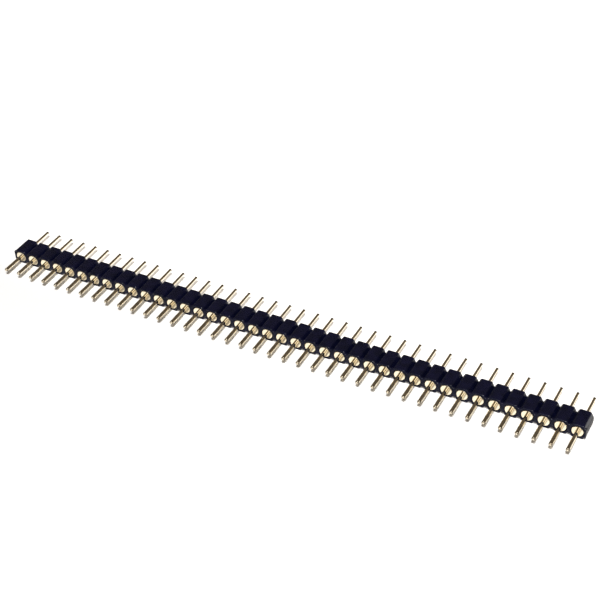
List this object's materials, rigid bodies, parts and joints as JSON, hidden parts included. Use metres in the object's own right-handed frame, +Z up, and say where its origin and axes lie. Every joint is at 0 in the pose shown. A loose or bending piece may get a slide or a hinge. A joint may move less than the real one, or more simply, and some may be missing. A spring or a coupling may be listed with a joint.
{
  "type": "pin header strip",
  "caption": "Single-row strip of gold-plated turned round pins, each with a flange and a thin solder tail, pressed into a black insulator with break-off notches.",
  "frame": {"origin": "under the middle of the whole strip, on the surface it lies on", "axes": "+X along the row from pin_01 to the last pin, +Y along the pins from the plug ends to the solder tails, +Z up from the side that the insulator lies on"},
  "size_m": [0.1016, 0.012, 0.0025],
  "materials": {
    "insulator": "black glass-filled moulding, slightly satin",
    "pin_plating": "turned brass with bright gold plating"
  },
  "bodies": {
    "root": {"insulator": "insulator", "pin_01": "pin_plating", "pin_02": "pin_plating", "pin_03": "pin_plating", "pin_04": "pin_plating", "pin_05": "pin_plating", "pin_06": "pin_plating", "pin_07": "pin_plating", "pin_08": "pin_plating", "pin_09": "pin_plating", "pin_10": "pin_plating", "pin_11": "pin_plating", "pin_12": "pin_plating", "pin_13": "pin_plating", "pin_14": "pin_plating", "pin_15": "pin_plating", "pin_16": "pin_plating", "pin_17": "pin_plating", "pin_18": "pin_plating", "pin_19": "pin_plating", "pin_20": "pin_plating", "pin_21": "pin_plating", "pin_22": "pin_plating", "pin_23": "pin_plating", "pin_24": "pin_plating", "pin_25": "pin_plating", "pin_26": "pin_plating", "pin_27": "pin_plating", "pin_28": "pin_plating", "pin_29": "pin_plating", "pin_30": "pin_plating", "pin_31": "pin_plating", "pin_32": "pin_plating", "pin_33": "pin_plating", "pin_34": "pin_plating", "pin_35": "pin_plating", "pin_36": "pin_plating", "pin_37": "pin_plating", "pin_38": "pin_plating", "pin_39": "pin_plating", "pin_40": "pin_plating"}
  },
  "joints": []
}
